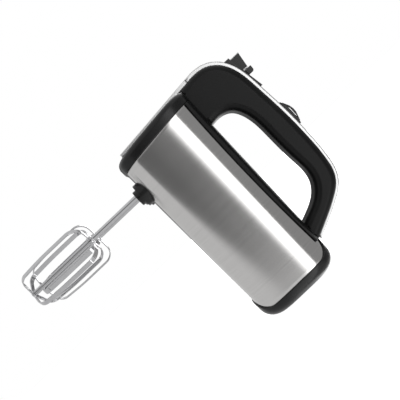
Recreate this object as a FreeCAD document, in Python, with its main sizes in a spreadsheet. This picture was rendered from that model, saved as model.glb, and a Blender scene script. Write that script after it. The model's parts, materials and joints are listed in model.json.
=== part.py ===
import FreeCAD, Part
import math
import os
from types import SimpleNamespace
import Sketcher

Vector = FreeCAD.Vector
Rotation = FreeCAD.Rotation
doc = FreeCAD.newDocument("hand_mixer")

# The mixer stands on its heel. Stations run up Z from the heel face, heights run along X from the
# motor axis towards the handle, and widths run along Y. Lengths are in millimetres.
driving = {
    # body tube, a superellipse section that grows and leans towards the nose
    "body_front": 206.4,
    "front_height": 89.6,
    "front_width": 82,
    "front_centre": -0.2,
    "heel_height": 81.4,
    "heel_width": 76.5,
    "heel_centre": 1.9,
    "front_lean": 0.1164,
    "section_power": 4,
    "sleeve_back": 13,
    "bezel_depth": 12.4,
    "sleeve_wall": 0.7,
    "sleeve_corner": 13,
    "rim_proud": 1.4,
    "shell_wall": 2.4,
    "heel_round": 15,
    "nose_round": 6,
    "seam_gap": 0.3,
    "skin_gap": 0.25,
    "running_gap": 0.3,
    "bearing_fit": 0.05,
    # handle
    "handle_rise": 59,
    "grip_width": 30,
    "grip_round": 7,
    "grip_wall": 2.4,
    "trim_width": 18,
    "trim_thick": 3.5,
    "trim_thin": 2.5,
    "spine_width": 15,
    # drive
    "nose_setback": 38.1,
    "spindle_spacing": 40,
    "worm_pitch_radius": 4,
    "gear_module": 1,
    "wheel_width": 9,
    "spindle_radius": 6,
    "spindle_neck": 4.3,
    "beater_fit": 0.1,
    "flange_radius": 11.9,
    "collar_radius": 7.75,
    "collar_shift": 2.2,
    "nose_flange_drop": 3.8,
    "nose_collar_drop": 7.8,
    # beaters
    "beater_shaft_radius": 2.5,
    "cage_radius": 24,
    "cage_gap": 57.5,
    "cage_length": 73.5,
    "strip_width": 4.7,
    "strip_thick": 1.1,
    "left_turn": 40,
    "right_turn": 15,
    # motor
    "armature_radius": 18,
    "stack_length": 34,
    "air_gap": 0.6,
    "stator_width": 58,
    "shaft_radius": 4,
    # controls
    "eject_travel": 5,
    "turbo_travel": 2,
    "slider_travel": 12,
    "key_length": 16.3,
    "key_width": 13,
    "button_gap": 0.35,
    "gland_radius": 5.5,
    "cord_radius": 3.5,
}

sheet = doc.addObject("Spreadsheet::Sheet", "dims")
for row, (alias, number) in enumerate(driving.items(), start=1):
    sheet.set(f"A{row}", alias)
    sheet.set(f"B{row}", str(number))
    sheet.setAlias(f"B{row}", alias)
doc.recompute()
size = SimpleNamespace(**{alias: float(sheet.get(alias)) for alias in driving})

nodes = []

# Stations and heights that several pieces share.
spindle_station = size.body_front - size.nose_setback
seam_station = size.body_front - size.bezel_depth
spindle_side = size.spindle_spacing / 2
wheel_pitch_radius = spindle_side - size.worm_pitch_radius
inner_inset = size.sleeve_wall + size.skin_gap
lining_inset = inner_inset + size.shell_wall
frame_back = spindle_station - 28
frame_front = spindle_station + 22
wall_thick = 4
frame_floor = -27
frame_wall_top = 14
plate_low = frame_wall_top + 0.1
plate_high = plate_low + 4
deck_height = 44
deck_half_width = 22
trim_joint = deck_height + 12.3
trim_gap = 0.2
gland_depth = 10
cap_screw_height = -18
cap_screw_side = 17.5
post_back = size.shell_wall + 0.2
spindle_top = 24
shaft_top = -8
yoke_height = 31
lug_top = -29
spring_station = size.body_front - 17.2
stack_front = frame_back - 20
stack_back = stack_front - size.stack_length
far = 400


# ---- helpers -------------------------------------------------------------------------------

def value(expression):
    return float(sheet.evalExpression(expression))


def keep(label, piece):
    piece.Label = label
    nodes.append(piece)
    return piece


def computed(label, shape):
    piece = doc.addObject("Part::Feature", label)
    piece.Shape = shape
    return keep(label, piece)


turns = {"Z": Rotation(), "X": Rotation(Vector(0, 1, 0), 90), "Y": Rotation(Vector(1, 0, 0), -90)}


def place(piece, base, axis="Z"):
    piece.Placement = FreeCAD.Placement(Vector(), turns[axis])
    for letter, expression in zip("xyz", base):
        piece.setExpression(f"Placement.Base.{letter}", str(expression))
    return piece


def block(name, spans, base):
    piece = doc.addObject("Part::Box", name)
    for side, span in zip(("Length", "Width", "Height"), spans):
        piece.setExpression(side, str(span))
    return place(piece, base)


def cut(label, base, *tools):
    for index, tool in enumerate(tools):
        piece = doc.addObject("Part::Cut", f"{label}_cut{index}")
        piece.Base = base
        piece.Tool = tool
        base = piece
    return base


def fuse(label, *pieces):
    piece = doc.addObject("Part::MultiFuse", f"{label}_join")
    piece.Shapes = list(pieces)
    return piece


def turned(name, outline, base, axis="Z"):
    """A revolved body. The outline lists (radius, length) pairs of sheet expressions."""
    body = doc.addObject("PartDesign::Body", name)
    sketch = body.newObject("Sketcher::SketchObject", f"{name}_outline")
    plane = next(item for item in body.Origin.OriginFeatures if item.Role == "XZ_Plane")
    sketch.AttachmentSupport = [(plane, "")]
    sketch.MapMode = "FlatFace"
    corners = [Vector(value(radius), value(length), 0) for radius, length in outline]
    count = len(corners)
    for index in range(count):
        sketch.addGeometry(Part.LineSegment(corners[index], corners[(index + 1) % count]))
    for index in range(count):
        sketch.addConstraint(Sketcher.Constraint("Coincident", index, 2, (index + 1) % count, 1))
    for index, (radius, length) in enumerate(outline):
        for kind, expression, axis_index, start in (
                ("DistanceX", radius, -2, corners[index].x), ("DistanceY", length, -1, corners[index].y)):
            if expression == "0":
                sketch.addConstraint(Sketcher.Constraint("PointOnObject", index, 1, axis_index))
            else:
                number = sketch.addConstraint(Sketcher.Constraint(kind, -1, 1, index, 1, start))
                sketch.setExpression(f"Constraints[{number}]", expression)
    turn = body.newObject("PartDesign::Revolution", f"{name}_turn")
    turn.Profile = sketch
    turn.ReferenceAxis = (sketch, ["V_Axis"])
    turn.Angle = 360
    return place(body, base, axis)


def side_face(edges_or_points):
    """A face in the side view from a closed run of points (height, station) or of edges."""
    if isinstance(edges_or_points[0], tuple):
        points = [Vector(height, 0, station) for height, station in edges_or_points]
        wire = Part.makePolygon(points + points[:1])
    else:
        wire = Part.Wire(edges_or_points)
    return Part.Face(wire)


def side_prism(outline, half_width, centre=0):
    face = side_face(outline)
    face.translate(Vector(0, centre - half_width, 0))
    return face.extrude(Vector(0, 2 * half_width, 0))


def cuboid(low, high):
    return Part.makeBox(high[0] - low[0], high[1] - low[1], high[2] - low[2], Vector(*low))


def cylinder(radius, start, end):
    start = Vector(*start)
    end = Vector(*end)
    return Part.makeCylinder(radius, (end - start).Length, start, end - start)


def sided_cuboid(side, low, high):
    """A box given for the +Y side, and mirrored to the other side where side is -1."""
    near, far_side = sorted((side * low[1], side * high[1]))
    return cuboid((low[0], near, low[2]), (high[0], far_side, high[2]))


def tube(outer, inner, start, end):
    return cylinder(outer, start, end).cut(cylinder(inner, start, end))


def round_edges(solid, radius, chosen):
    edges = [edge for edge in solid.Edges if chosen(edge)]
    return solid.makeFillet(radius, edges)


# ---- body tube -----------------------------------------------------------------------------

section_steps = 48


def share_at(station):
    return station / size.body_front


def section_sizes(station):
    share = share_at(station)
    half_height = (size.heel_height + share * (size.front_height - size.heel_height)) / 2
    half_width = (size.heel_width + share * (size.front_width - size.heel_width)) / 2
    centre = size.heel_centre + share * (size.front_centre - size.heel_centre)
    return half_height, half_width, centre


def lean_at(station):
    return size.front_lean * share_at(station)


def front_line(station, height):
    return station + lean_at(station) * height


def section_wire(station, inset):
    half_height, half_width, centre = section_sizes(station)
    power = size.section_power
    points = []
    for step in range(section_steps):
        turn = 2 * math.pi * step / section_steps
        across = abs(math.cos(turn) / (half_height - inset)) ** power
        along = abs(math.sin(turn) / (half_width - inset)) ** power
        reach = (across + along) ** (-1 / power)
        height = centre + reach * math.cos(turn)
        points.append(Vector(height, reach * math.sin(turn), front_line(station, height)))
    curve = Part.BSplineCurve()
    curve.interpolate(Points=points, PeriodicFlag=True)
    return Part.Wire(curve.toShape())


def tube_block(low, high, inset=0):
    return Part.makeLoft([section_wire(low, inset), section_wire(high, inset)], True, True)


def rounded_block(low, high, inset, radius, front=False):
    """A tube block with one end rounded: the heel end, or the front end if asked."""
    steps = 6
    wires = []
    for step in range(steps + 1):
        turn = math.pi / 2 * step / steps
        setback = radius * (1 - math.cos(turn))
        shrink = radius * (1 - math.sin(turn))
        station = high - setback if front else low + setback
        wires.append(section_wire(station, inset + shrink))
    wires.append(section_wire(low if front else high, inset))
    return Part.makeLoft(wires, True, True)


def sleeve_window(grow):
    """The side-view region that the steel covers, its rear corners rounded."""
    half_height, _, centre = section_sizes(size.sleeve_back)
    low = centre - half_height - 1.2 - grow
    high = centre + half_height + 0.6 + grow
    corner_end = size.sleeve_back + size.sleeve_corner
    box = cuboid((low, -far / 2, size.sleeve_back - grow), (high, far / 2, corner_end + 1))
    box = round_edges(box, size.sleeve_corner + grow, lambda edge: (
        edge.BoundBox.YLength > far / 2 and edge.CenterOfMass.z < size.sleeve_back + 1))
    return box.fuse(cuboid((-far, -far / 2, corner_end), (far, far / 2, far)))


def spindle_holes(radius, low, high):
    return Part.makeCompound([
        cylinder(radius, (low, side * spindle_side, spindle_station),
                 (high, side * spindle_side, spindle_station)) for side in (-1, 1)])


def leg_openings():
    """Ways from the body up into the two handle legs."""
    front = cuboid((20, -9, seam_station - 26), (60, 9, seam_station - 0.5))
    back = cuboid((20, -8, 30), (60, 8, 43))
    return Part.makeCompound([front, back])


def make_sleeve():
    shell = tube_block(size.sleeve_back, seam_station).cut(
        tube_block(size.sleeve_back - 1, seam_station + 1, size.sleeve_wall))
    shell = shell.common(sleeve_window(0))
    slot = cuboid((20, -deck_half_width, -1), (far, deck_half_width, far))
    holes = spindle_holes(size.spindle_radius + 3.2, -far / 4, -20)
    computed("steel_sleeve", shell.cut(slot).cut(holes))


def make_rear_cap():
    reach = 2 * size.sleeve_corner + 4
    outer = rounded_block(0, size.sleeve_back + size.sleeve_corner, -size.rim_proud, size.heel_round)
    skin = outer.cut(sleeve_window(size.seam_gap))
    wall = size.shell_wall
    spigot = rounded_block(wall / 2, reach, inner_inset, size.heel_round - wall)
    hollow = rounded_block(wall, reach + 1, lining_inset, size.heel_round - wall)
    half_height, _, centre = section_sizes(size.sleeve_back + size.sleeve_corner)
    top = centre + half_height + size.rim_proud
    ridge = cuboid((top - 2, -8, 22.4), (top + 2, 8, 24))
    shell = skin.fuse(spigot).fuse(ridge).cut(hollow)
    shell = shell.cut(gland_bore(size.gland_radius + size.button_gap))
    for hole in cap_screw_holes():
        shell = shell.cut(hole)
    computed("rear_cap", shell)


def gland_axis():
    """The cord leaves the cap's upper shoulder, up and back at 45 degrees."""
    half_height, _, centre = section_sizes(0)
    corner = centre + half_height + size.rim_proud - size.heel_round
    reach = size.heel_round * math.sqrt(0.5)
    middle = Vector(corner + reach, 0, size.heel_round - reach)
    return middle, Vector(math.sqrt(0.5), 0, -math.sqrt(0.5))


def gland_bore(radius):
    middle, out = gland_axis()
    return Part.makeCylinder(radius, 30, middle - out * 15, out)


def make_cord_gland():
    middle, out = gland_axis()
    start = middle - out * gland_depth
    bush = Part.makeCylinder(size.gland_radius, gland_depth + 0.4, start, out)
    bush = bush.fuse(Part.makeCylinder(size.gland_radius + 1.8, 2.6, start, out))
    bore = Part.makeCylinder(size.cord_radius, 30, middle - out * 15, out)
    computed("cord_gland", bush.cut(bore))


def cap_screw_holes():
    holes = []
    for side in (-1, 1):
        holes.append(cylinder(1.8, (cap_screw_height, side * cap_screw_side, -1),
                              (cap_screw_height, side * cap_screw_side, 12)))
        holes.append(cylinder(3.6, (cap_screw_height, side * cap_screw_side, -1),
                              (cap_screw_height, side * cap_screw_side, 1.2)))
    return holes


def bezel_posts():
    return [(height, front_line(size.body_front, height)) for height in (-22, 10.2)]


def make_front_bezel():
    back = seam_station + size.seam_gap
    outer = rounded_block(back, size.body_front, -size.rim_proud, size.nose_round, True)
    inset = size.shell_wall - size.rim_proud
    hollow = tube_block(back - 1, size.body_front - size.shell_wall, inset)
    shell = outer.cut(hollow)
    spine = side_prism([
        (-36, front_line(size.body_front, -36) - 1), (44, front_line(size.body_front, 44) - 1),
        (44, trim_inner(44)), (-36, trim_inner(-36))], size.spine_width / 2)
    shell = shell.fuse(spine)
    for height, station in bezel_posts():
        post = cylinder(3.6, (height, 0, frame_front + 0.2), (height, 0, station))
        shell = shell.fuse(post)
    for height, station in bezel_posts():
        shell = shell.cut(cylinder(1.7, (height, 0, frame_front - 1), (height, 0, far)))
        shell = shell.cut(cylinder(3.2, (height, 0, station - 2), (height, 0, far)))
    computed("front_bezel", shell.removeSplitter())


def make_top_cover():
    """The deck between the steel and the handle: a proud skin whose lower edge is a long arc."""
    back = size.sleeve_back + size.sleeve_corner + size.seam_gap
    outer = tube_block(back, seam_station, -size.rim_proud)
    inner = tube_block(back - 1, seam_station + 1, -size.skin_gap)
    middle = (back + seam_station) / 2 - 22
    edge = Part.Arc(Vector(40.6, 0, back - 2), Vector(37.4, 0, middle), Vector(39.4, 0, seam_station + 12))
    upper = [Vector(far / 4, 0, seam_station + 12), Vector(far / 4, 0, back - 2)]
    run = [edge.toShape(), Part.makeLine(edge.EndPoint, upper[0]), Part.makeLine(*upper),
           Part.makeLine(upper[1], edge.StartPoint)]
    skin = outer.cut(inner).common(side_prism(run, far / 4))
    skin = skin.cut(leg_openings())
    computed("top_cover", skin)


def make_inner_housing():
    back = 2 * size.sleeve_corner + 5
    front = seam_station - 1
    shell = tube_block(back, front, inner_inset).cut(tube_block(back - 1, front + 1, lining_inset))
    shell = shell.cut(leg_openings()).cut(spindle_holes(size.spindle_radius + 3.2, -far / 4, -20))
    for side, name in ((-1, "left"), (1, "right")):
        half = shell.common(sided_cuboid(side, (-far, 0, -far), (far, far, far)))
        inner_width = section_sizes(back)[1] - lining_inset
        across = side * cap_screw_side
        post = cylinder(4, (cap_screw_height, across, post_back), (cap_screw_height, across, back + 8))
        rib = sided_cuboid(side, (cap_screw_height - 1.5, cap_screw_side, back + 0.5),
                           (cap_screw_height + 1.5, inner_width + 1, back + 8))
        bore = cylinder(1.3, (cap_screw_height, across, post_back - 1), (cap_screw_height, across, 16))
        computed(f"inner_housing_{name}", half.fuse(post.fuse(rib)).cut(bore).removeSplitter())


# ---- handle --------------------------------------------------------------------------------

# Outer line of the grip shells and the finger gap's line: height above the deck as a share of the
# handle's rise, and station as a share of the body's length.
grip_outer = [(-0.09, 1.030), (0.08, 1.0345), (0.30, 1.0415), (0.52, 1.037), (0.735, 1.002),
              (0.865, 0.945), (0.952, 0.807), (0.998, 0.613), (1.0, 0.5), (0.948, 0.322),
              (0.885, 0.270), (0.73, 0.225), (0.45, 0.177), (0.08, 0.126), (-0.09, 0.102)]
grip_inner = [(-0.09, 0.816), (0.10, 0.824), (0.26, 0.824), (0.405, 0.806), (0.515, 0.757),
              (0.578, 0.613), (0.597, 0.46), (0.572, 0.327), (0.44, 0.276), (0.08, 0.222),
              (-0.09, 0.199)]


# The board lies on the grip's inner wall, over the highest point of the finger gap.
board_thick = 1.6
board_low = deck_height + max(rise for rise, reach in grip_inner) * size.handle_rise + size.grip_wall + 0.9


def side_curve(shares):
    points = [Vector(deck_height + rise * size.handle_rise, 0, reach * size.body_front)
              for rise, reach in shares]
    curve = Part.BSplineCurve()
    curve.interpolate(points)
    return curve


def offset_curve(curve, start_gap, end_gap):
    """A curve beside another one, its distance changing evenly from end to end."""
    steps = 22
    first = curve.FirstParameter
    points = []
    for step in range(steps + 1):
        share = step / steps
        parameter = first + share * (curve.LastParameter - first)
        along = curve.tangent(parameter)[0]
        normal = Vector(along.z, 0, -along.x)
        gap = start_gap + share * (end_gap - start_gap)
        points.append(curve.value(parameter) + normal * gap)
    beside = Part.BSplineCurve()
    beside.interpolate(points)
    return beside


def closed_face(outer, inner):
    edges = [outer.toShape(), Part.makeLine(outer.EndPoint, inner.EndPoint), inner.toShape(),
             Part.makeLine(inner.StartPoint, outer.StartPoint)]
    return Part.Face(Part.Wire(Part.sortEdges(edges)[0]))


def outward(curve):
    """+1 where the curve's own normal points away from the finger gap."""
    parameter = (curve.FirstParameter + curve.LastParameter) / 2
    return 1 if curve.tangent(parameter)[0].z > 0 else -1


outer_line = side_curve(grip_outer)
inner_line = side_curve(grip_inner)
outer_side = outward(outer_line)
inner_side = outward(inner_line)


def trim_inner(height):
    """Station of the front strip's rear face: it runs on straight from the grip's front."""
    top = outer_line.value(outer_line.parameter(Vector(deck_height + 12, 0, far)))
    top_station = top.z
    slope = 0.094
    return top_station + slope * (height - top.x)


def arch(outer, inner, half_width, rounding):
    solid = closed_face(outer, inner)
    solid.translate(Vector(0, -half_width, 0))
    solid = solid.extrude(Vector(0, 2 * half_width, 0))
    if rounding:
        solid = round_edges(solid, rounding, lambda edge: edge.Length > 150)
    return solid


handle_screws = [(deck_height + 18, seam_station - 20), (deck_height + 47, size.body_front * 0.43),
                 (deck_height + 20, size.body_front * 0.183)]


def make_handle():
    half_width = size.grip_width / 2
    foot = tube_block(-20, size.body_front + 30, -size.rim_proud - 0.1)
    solid = arch(outer_line, inner_line, half_width, size.grip_round).cut(foot)
    wall = size.grip_wall
    hollow = arch(offset_curve(outer_line, -outer_side * wall, -outer_side * wall),
                  offset_curve(inner_line, inner_side * wall, inner_side * wall), half_width - wall, 0)
    shell = solid.cut(hollow)
    for height, station in handle_screws:
        post = cylinder(3.6, (height, 1 - half_width, station), (height, half_width - 1, station))
        shell = shell.fuse(post.common(solid))
    shell = shell.cut(key_well(size.button_gap)).cut(slider_slot()).cut(turbo_well())
    for height, station in handle_screws:
        shell = shell.cut(cylinder(1.3, (height, -8, station), (height, 0, station)))
        shell = shell.cut(cylinder(1.8, (height, 0, station), (height, far, station)))
        shell = shell.cut(cylinder(3.4, (height, 10, station), (height, far, station)))
    for side, name in ((-1, "left"), (1, "right")):
        half = shell.common(sided_cuboid(side, (-far, 0, -far), (far, far, far)))
        computed(f"handle_{name}", half)


def make_handle_trim():
    inner = offset_curve(outer_line, outer_side * trim_gap, outer_side * trim_gap)
    outer = trim_outer_line(0)
    solid = closed_face(outer, inner)
    solid.translate(Vector(0, -size.trim_width / 2, 0))
    solid = solid.extrude(Vector(0, size.trim_width, 0))
    front = cuboid((0, -far, size.body_front / 2), (trim_joint, far, far))
    back = cuboid((0, -far, -far), (deck_height + 3, far, size.body_front / 2))
    solid = solid.cut(front).cut(back)
    solid = solid.cut(key_well(size.button_gap)).cut(slider_slot()).cut(turbo_well())
    computed("handle_trim", solid)


def trim_outer_line(extra):
    return offset_curve(outer_line, outer_side * (size.trim_thick + trim_gap + extra),
                        outer_side * (size.trim_thin + trim_gap + extra))


def trim_mass():
    """Everything under the trim strip's outer face, to cut what sits on the strip."""
    face = closed_face(trim_outer_line(0.02), inner_line)
    face.translate(Vector(0, -far / 4, 0))
    return face.extrude(Vector(0, far / 2, 0))


def make_front_trim():
    top = trim_joint - 0.3
    bottom = -36.5
    half = size.trim_width / 2
    solid = side_prism([(bottom, trim_inner(bottom) + 0.1), (top, trim_inner(top) + 0.1),
                        (top, trim_inner(top) + size.trim_thick + 0.2),
                        (bottom, trim_inner(bottom) + size.trim_thin + 0.3)], half)
    solid = round_edges(solid, 0.8, lambda edge: (
        edge.Length > 60 and edge.CenterOfMass.z > trim_inner(edge.CenterOfMass.x) + 1))
    computed("front_trim", solid)


# ---- controls on the handle ----------------------------------------------------------------

key_front = size.body_front - 3.7
key_back = key_front - size.key_length
key_foot = deck_height + 38
plane_tilt = math.radians(9)
slider_length = 6
track_lift = 0.8
turbo_middle = size.body_front * 0.62


def track_offset():
    """The tilted track just clears the strip's crown: the highest point along it sets the level."""
    curve = trim_outer_line(0)
    span = curve.LastParameter - curve.FirstParameter
    samples = [curve.value(curve.FirstParameter + span * step / 200) for step in range(201)]
    return max(point.x + point.z * math.tan(plane_tilt) for point in samples) + track_lift


track_level = track_offset()


def plane_height(station):
    """Height of the flat track that the speed slider runs on."""
    return track_level - station * math.tan(plane_tilt)


def key_well(grow):
    return cuboid((key_foot - 12, -size.key_width / 2 - grow, key_back - grow),
                  (far, size.key_width / 2 + grow, key_front + grow))


slot_back = key_back - 2.5 - slider_length - size.slider_travel


def slider_slot():
    return cuboid((deck_height + 40, -2, slot_back), (far, 2, key_back - 1))


def turbo_well():
    return cuboid((deck_height + 50, -6.1, turbo_middle - 12.2), (far, 6.1, turbo_middle + 12.2))


def make_control_base():
    """A low collar round the eject key that runs on as the flat track of the speed slider."""
    front = key_front + 1.6
    back = slot_back - 1.5
    outline = [(deck_height + 40, front), (plane_height(front), front),
               (plane_height(back), back), (deck_height + 40, back)]
    solid = side_prism(outline, size.trim_width / 2 - 0.4)
    solid = solid.cut(trim_mass())
    solid = solid.cut(key_well(size.button_gap)).cut(slider_slot())
    computed("control_base", solid)


def make_eject_key():
    front_top = deck_height + 66.2
    back_top = deck_height + 63.6
    half = size.key_width / 2
    wedge = side_prism([(key_foot, key_back), (key_foot, key_front), (front_top, key_front),
                        (back_top, key_back)], half)
    wedge = round_edges(wedge, 0.6, lambda edge: edge.CenterOfMass.x > deck_height + 60 and
                        edge.BoundBox.YLength < 1)
    hollow = cuboid((key_foot - 1, 2 - half, key_back + 2), (deck_height + 58, half - 2, key_front - 2))
    groove = side_prism([(deck_height + 52, key_back), (deck_height + 52, key_front),
                         (front_top, key_front), (back_top, key_back)], half + 1)
    core = side_prism([(deck_height + 52, key_back + 0.9), (deck_height + 52, key_front - 0.9),
                       (front_top - 0.9, key_front - 0.9), (back_top - 0.9, key_back + 0.9)], half + 2)
    ribbon = groove.cut(core)
    band = ribbon.common(cuboid((0, 0.8 - half, 0), (far, half - 0.8, far)))
    foot = cuboid((key_foot, -half, key_back), (key_foot + 2, half, spring_station + 3))
    computed("eject_key", wedge.cut(hollow).fuse(foot).cut(band).removeSplitter())
    computed("key_band", band)


shoe_drop = 7.2


def make_speed_slider():
    front = key_back - 0.7
    back = front - slider_length
    top = plane_height(front)
    solid = side_prism([(plane_height(front) + 0.3, front), (top + 8.0, front), (top + 7.6, back + 1.2),
                        (top + 6.0, back), (plane_height(back) + 0.3, back)], 8)
    stem = cuboid((top - shoe_drop, -1.6, back + 1), (top + 2, 1.6, front - 1))
    computed("speed_slider", solid.fuse(stem).removeSplitter())
    shoe = cuboid((top - shoe_drop - 2.4, -5, back - 3), (top - shoe_drop, 5, front + 0.2))
    contact = cuboid((top - shoe_drop - 4.8, -1.5, back), (top - shoe_drop - 2.4, 1.5, front - 2))
    computed("slider_shoe", shoe.fuse(contact))


def make_turbo():
    middle = turbo_middle
    base = deck_height + 61.6
    outline = [(base - 4, middle - 14.2), (base + 1.9, middle - 14.2), (base + 3.3, middle - 10),
               (base + 3.3, middle + 6), (base + 0.9, middle + 13.6), (base - 4, middle + 13.6)]
    frame = side_prism(outline, 7.6)
    frame = frame.cut(trim_mass()).cut(turbo_well())
    computed("turbo_frame", frame)
    half = 5.7
    button = side_prism([(base - 8, middle - 11.8), (base + 3.4, middle - 11.8), (base + 6.2, middle - 3.2),
                         (base + 6.4, middle + 1), (base + 5.4, middle + 5.4), (base + 2.4, middle + 11.8),
                         (base - 8, middle + 11.8)], half)
    hollow = cuboid((base - 9, -half + 1.6, middle - 10), (base + 1, half - 1.6, middle + 10))
    inlay_outline = [(base + 2.3, middle - 9), (base + 4.1, middle - 6), (base + 4.3, middle + 3),
                     (base + 2.3, middle + 8.6)]
    slot = side_prism(inlay_outline, half + 1)
    inlay = side_prism(inlay_outline, half + 0.1)
    stem = cylinder(2, (base - 10, 0, middle), (base + 2, 0, middle))
    computed("turbo_button", button.cut(hollow).cut(slot).fuse(stem).removeSplitter())
    computed("turbo_inlay", inlay.cut(stem))
    foot = Vector(base - 13.6, 0, middle)
    computed("turbo_spring", spring(3.2, 0.45, 4, 14.4, foot, turns["X"]))
    ledge = base - 13.8
    body = cuboid((board_low + board_thick + 0.1, -5, middle - 9), (ledge, 5, middle + 9))
    plunger = cylinder(1.6, (ledge, 0, middle), (base - 10 - size.turbo_travel - 0.2, 0, middle))
    computed("turbo_switch", body.fuse(plunger))


def spring(radius, wire, coils, length, foot, turn):
    """A compression spring of eight-sided wire. Its middle line rises from foot along the turned Z axis."""
    rise = length - 2 * wire
    helix = Part.makeHelix(rise / coils, rise, radius)
    angles = [math.radians(45 * i) for i in range(8)]
    corners = [Vector(radius + wire * math.cos(a), 0, wire * math.sin(a)) for a in angles]
    section = Part.makePolygon(corners + [corners[0]])
    coil = Part.Wire(helix).makePipeShell([section], True, True)
    coil.Placement = FreeCAD.Placement(foot + turn.multVec(Vector(0, 0, wire)), turn)
    return coil


# ---- ejector -------------------------------------------------------------------------------

def make_ejector():
    pins = [cylinder(2.1, (shaft_top + size.eject_travel + 0.4, side * spindle_side, spindle_station),
                     (yoke_height + 1, side * spindle_side, spindle_station)) for side in (-1, 1)]
    bridge = cuboid((yoke_height, -spindle_side - 5, spindle_station - 4),
                    (yoke_height + 3, spindle_side + 5, spindle_station + 4))
    arm = cuboid((yoke_height, -5, spindle_station), (yoke_height + 3, 5, spring_station + 5))
    yoke = bridge.fuse([arm] + pins)
    hole = cylinder(1.5, (0, 0, spring_station), (far, 0, spring_station))
    computed("ejector_yoke", yoke.cut(hole).removeSplitter())
    top = str(key_foot - yoke_height - 0.3)
    outline = [("0", "0"), ("1.5", "0"), ("1.5", "3"), ("2.5", "3"), ("2.5", "22"), ("4.2", "22"),
               ("4.2", "24"), ("2.5", "24"), ("2.5", top), ("0", top)]
    keep("ejector_rod", turned("ejector_rod", outline, (yoke_height, 0, spring_station), "X"))
    foot = Vector(yoke_height + 10.4, 0, spring_station)
    computed("ejector_spring", spring(3.6, 0.5, 5, 11.4, foot, turns["X"]))


# ---- gear train ----------------------------------------------------------------------------

def make_gear_frame():
    inset = lining_inset + size.running_gap
    inside = tube_block(frame_back - 5, frame_front + 8, inset)
    reach = far / 8
    front_wall = frame_front - wall_thick
    base = cuboid((-reach, -reach, frame_back), (frame_floor, reach, frame_front))
    back = cuboid((-reach, -reach, frame_back), (frame_wall_top, reach, frame_back + wall_thick))
    front = cuboid((-reach, -reach, front_wall), (frame_wall_top, reach, frame_front))
    solid = base.fuse([back, front]).common(inside)
    solid = solid.cut(spindle_holes(9, -50, -20))
    bearing = size.shaft_radius + 4 + size.bearing_fit
    solid = solid.cut(cylinder(bearing, (0, 0, frame_back - 1), (0, 0, frame_back + wall_thick + 1)))
    solid = solid.cut(cylinder(bearing - 2, (0, 0, front_wall - 1), (0, 0, frame_front + 1)))
    for height, station in bezel_posts():
        solid = solid.cut(cylinder(1.3, (height, 0, front_wall - 1), (height, 0, frame_front + 1)))
    for across, station in plate_screws():
        solid = solid.cut(cylinder(1.3, (0, across, station), (20, across, station)))
    computed("gear_frame", solid.removeSplitter())

    plate = cuboid((plate_low, -reach, frame_back), (plate_high, reach, frame_front)).common(inside)
    plate = plate.cut(spindle_holes(8.5, 0, 50))
    for across, station in plate_screws():
        plate = plate.cut(cylinder(1.8, (0, across, station), (50, across, station)))
    computed("gear_plate", plate)

    screws = []
    for across, station in plate_screws():
        shank = cylinder(1.25, (6, across, station), (plate_high, across, station))
        head = cylinder(3, (plate_high, across, station), (plate_high + 2, across, station))
        screws.append(shank.fuse(head))
    computed("gear_screws", Part.makeCompound(screws))


def plate_screws():
    edge = wall_thick / 2
    stations = (frame_back + edge, frame_front - edge)
    return [(across, station) for across in (-24, 24) for station in stations]


def make_spindles():
    lower = []
    upper = []
    bore = size.spindle_radius + size.bearing_fit
    for side in (-1, 1):
        centre = side * spindle_side
        lower.append(tube(8.95, bore, (frame_floor - 9, centre, spindle_station),
                          (frame_floor, centre, spindle_station)))
        upper.append(tube(8.45, bore, (plate_low, centre, spindle_station),
                          (plate_high, centre, spindle_station)))
    computed("spindle_bushes_lower", Part.makeCompound(lower))
    computed("spindle_bushes_upper", Part.makeCompound(upper))

    collar_bottom = nose_bottom() + 0.8
    for side, name in ((-1, "left"), (1, "right")):
        bore = "dims.beater_shaft_radius + dims.beater_fit"
        neck_end = str(-37 - collar_bottom)
        top = str(spindle_top - collar_bottom)
        body = turned(f"spindle_{name}_body",
                      [(bore, "0"), ("dims.spindle_neck", "0"), ("dims.spindle_neck", neck_end),
                       ("dims.spindle_radius", neck_end), ("dims.spindle_radius", top), (bore, top)],
                      (collar_bottom, f"{side} * dims.spindle_spacing / 2", spindle_station), "X")
        slot = block(f"spindle_{name}_slot", (lug_top - collar_bottom + 1.4, 1.7, 7.7),
                     (collar_bottom - 1, f"{side} * dims.spindle_spacing / 2 - 0.85", spindle_station - 3.85))
        keep(f"spindle_{name}", cut(f"spindle_{name}", body, slot))
        computed(f"worm_wheel_{name}", worm_wheel(side))


def nose_bottom():
    half_height, _, centre = section_sizes(spindle_station)
    return centre - half_height - size.nose_collar_drop


def worm_wheel(side):
    """A wheel whose teeth stay slim enough to leave real backlash on the worm."""
    count = int(round(2 * wheel_pitch_radius / size.gear_module))
    outer = wheel_pitch_radius + 0.45 * size.gear_module
    root = wheel_pitch_radius - 1.2 * size.gear_module
    pitch = 2 * math.pi / count
    shift = 0.5 if side > 0 else 0
    points = []
    for tooth in range(count):
        middle = (tooth + shift) * pitch
        for offset, radius in ((-0.22, root), (-0.12, outer), (0.12, outer), (0.22, root)):
            turn = middle + offset * pitch - side * math.pi / 2
            points.append(Vector(-size.wheel_width / 2, side * spindle_side + radius * math.sin(turn),
                                 spindle_station + radius * math.cos(turn)))
    disc = Part.Face(Part.makePolygon(points + points[:1])).extrude(Vector(size.wheel_width, 0, 0))
    bore = cylinder(size.spindle_radius, (-20, side * spindle_side, spindle_station),
                    (20, side * spindle_side, spindle_station))
    return disc.cut(bore)


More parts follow.
